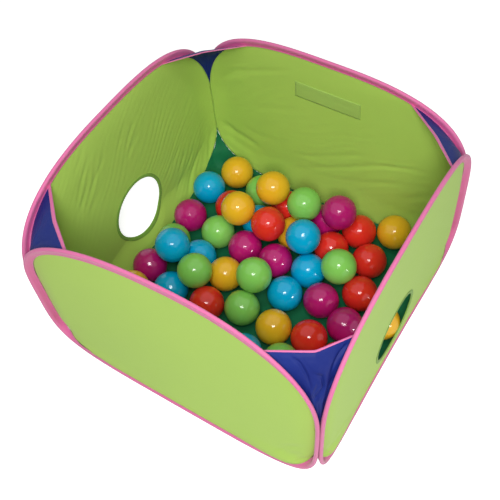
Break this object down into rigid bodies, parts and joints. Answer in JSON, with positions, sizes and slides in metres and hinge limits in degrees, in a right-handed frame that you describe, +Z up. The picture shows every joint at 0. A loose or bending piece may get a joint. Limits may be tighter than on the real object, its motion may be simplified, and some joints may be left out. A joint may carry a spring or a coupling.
{
  "type": "pet ball pit",
  "caption": "Square pop-up fabric ball pit for pets: four panels on sprung wire hoops with pink binding, corner gussets, cloth floor, side holes and loose plastic balls.",
  "frame": {"origin": "middle of the floor on the ground, under the middle of the whole part's box", "axes": "+Z up; +Y from the front panel to the back panel with the sewn patch; +X to the right"},
  "size_m": [0.4608, 0.4574, 0.3056],
  "materials": {
    "lime_cloth": "matte",
    "pink_tape": "satin",
    "navy_cloth": "satin",
    "floor_cloth": "matte",
    "edge_tape": "matte",
    "spring_steel": "satin",
    "blue_plastic": "gloss",
    "magenta_plastic": "gloss",
    "yellow_plastic": "gloss",
    "red_plastic": "gloss",
    "green_plastic": "gloss"
  },
  "bodies": {
    "root": {"back_binding": "pink_tape", "back_hoop": "spring_steel", "back_panel": "lime_cloth", "floor_sheet": "floor_cloth", "front_binding": "pink_tape", "front_hoop": "spring_steel", "front_panel": "lime_cloth", "gusset_back_left": "navy_cloth", "gusset_back_right": "navy_cloth", "gusset_front_left": "navy_cloth", "gusset_front_right": "navy_cloth", "left_binding": "pink_tape", "left_hole_tape": "edge_tape", "left_hoop": "spring_steel", "left_panel": "lime_cloth", "right_binding": "pink_tape", "right_hole_tape": "edge_tape", "right_hoop": "spring_steel", "right_panel": "lime_cloth", "sewn_patch": "lime_cloth"},
    "lower_balls": {"blue_ball_2": "blue_plastic", "blue_ball_3": "blue_plastic", "blue_ball_4": "blue_plastic", "blue_ball_5": "blue_plastic", "blue_ball_6": "blue_plastic", "green_ball_1": "green_plastic", "green_ball_2": "green_plastic", "green_ball_3": "green_plastic", "green_ball_4": "green_plastic", "magenta_ball_2": "magenta_plastic", "magenta_ball_3": "magenta_plastic", "magenta_ball_4": "magenta_plastic", "magenta_ball_5": "magenta_plastic", "magenta_ball_7": "magenta_plastic", "red_ball_1": "red_plastic", "red_ball_2": "red_plastic", "red_ball_3": "red_plastic", "red_ball_4": "red_plastic", "red_ball_6": "red_plastic", "red_ball_8": "red_plastic", "yellow_ball_2": "yellow_plastic", "yellow_ball_4": "yellow_plastic"},
    "yellow_ball_6": {"yellow_ball_6": "yellow_plastic"},
    "green_ball_5": {"green_ball_5": "green_plastic"},
    "magenta_ball_8": {"magenta_ball_8": "magenta_plastic"},
    "yellow_ball_7": {"yellow_ball_7": "yellow_plastic"},
    "red_ball_9": {"red_ball_9": "red_plastic"},
    "blue_ball_7": {"blue_ball_7": "blue_plastic"},
    "green_ball_6": {"green_ball_6": "green_plastic"},
    "blue_ball_8": {"blue_ball_8": "blue_plastic"},
    "green_ball_7": {"green_ball_7": "green_plastic"},
    "green_ball_8": {"green_ball_8": "green_plastic"},
    "blue_ball_1": {"blue_ball_1": "blue_plastic"},
    "magenta_ball_1": {"magenta_ball_1": "magenta_plastic"},
    "magenta_ball_6": {"magenta_ball_6": "magenta_plastic"},
    "red_ball_5": {"red_ball_5": "red_plastic"},
    "red_ball_7": {"red_ball_7": "red_plastic"},
    "yellow_ball_1": {"yellow_ball_1": "yellow_plastic"},
    "yellow_ball_3": {"yellow_ball_3": "yellow_plastic"},
    "yellow_ball_5": {"yellow_ball_5": "yellow_plastic"}
  },
  "joints": [
    {"name": "lower_balls_lift", "type": "slide", "parent": "root", "child": "lower_balls", "axis": [0, 0, 1], "range_m": [0, 0.32]},
    {"name": "yellow_ball_6_lift", "type": "slide", "parent": "lower_balls", "child": "yellow_ball_6", "axis": [0, 0, 1], "range_m": [0, 0.32]},
    {"name": "green_ball_5_lift", "type": "slide", "parent": "lower_balls", "child": "green_ball_5", "axis": [0, 0, 1], "range_m": [0, 0.32]},
    {"name": "magenta_ball_8_lift", "type": "slide", "parent": "lower_balls", "child": "magenta_ball_8", "axis": [0, 0, 1], "range_m": [0, 0.32]},
    {"name": "yellow_ball_7_lift", "type": "slide", "parent": "lower_balls", "child": "yellow_ball_7", "axis": [0, 0, 1], "range_m": [0, 0.32]},
    {"name": "red_ball_9_lift", "type": "slide", "parent": "lower_balls", "child": "red_ball_9", "axis": [0, 0, 1], "range_m": [0, 0.32]},
    {"name": "blue_ball_7_lift", "type": "slide", "parent": "lower_balls", "child": "blue_ball_7", "axis": [0, 0, 1], "range_m": [0, 0.32]},
    {"name": "green_ball_6_lift", "type": "slide", "parent": "lower_balls", "child": "green_ball_6", "axis": [0, 0, 1], "range_m": [0, 0.32]},
    {"name": "blue_ball_8_lift", "type": "slide", "parent": "lower_balls", "child": "blue_ball_8", "axis": [0, 0, 1], "range_m": [0, 0.32]},
    {"name": "green_ball_7_lift", "type": "slide", "parent": "lower_balls", "child": "green_ball_7", "axis": [0, 0, 1], "range_m": [0, 0.32]},
    {"name": "green_ball_8_lift", "type": "slide", "parent": "lower_balls", "child": "green_ball_8", "axis": [0, 0, 1], "range_m": [0, 0.32]},
    {"name": "blue_ball_1_lift", "type": "slide", "parent": "root", "child": "blue_ball_1", "axis": [0, 0, 1], "range_m": [0, 0.32]},
    {"name": "magenta_ball_1_lift", "type": "slide", "parent": "root", "child": "magenta_ball_1", "axis": [0, 0, 1], "range_m": [0, 0.32]},
    {"name": "magenta_ball_6_lift", "type": "slide", "parent": "root", "child": "magenta_ball_6", "axis": [0, 0, 1], "range_m": [0, 0.32]},
    {"name": "red_ball_5_lift", "type": "slide", "parent": "root", "child": "red_ball_5", "axis": [0, 0, 1], "range_m": [0, 0.32]},
    {"name": "red_ball_7_lift", "type": "slide", "parent": "root", "child": "red_ball_7", "axis": [0, 0, 1], "range_m": [0, 0.32]},
    {"name": "yellow_ball_1_lift", "type": "slide", "parent": "root", "child": "yellow_ball_1", "axis": [0, 0, 1], "range_m": [0, 0.32]},
    {"name": "yellow_ball_3_lift", "type": "slide", "parent": "root", "child": "yellow_ball_3", "axis": [-0.0499, -0.0499, 0.9975], "range_m": [0, 0.39]},
    {"name": "yellow_ball_5_lift", "type": "slide", "parent": "root", "child": "yellow_ball_5", "axis": [0, 0, 1], "range_m": [0, 0.32]}
  ]
}
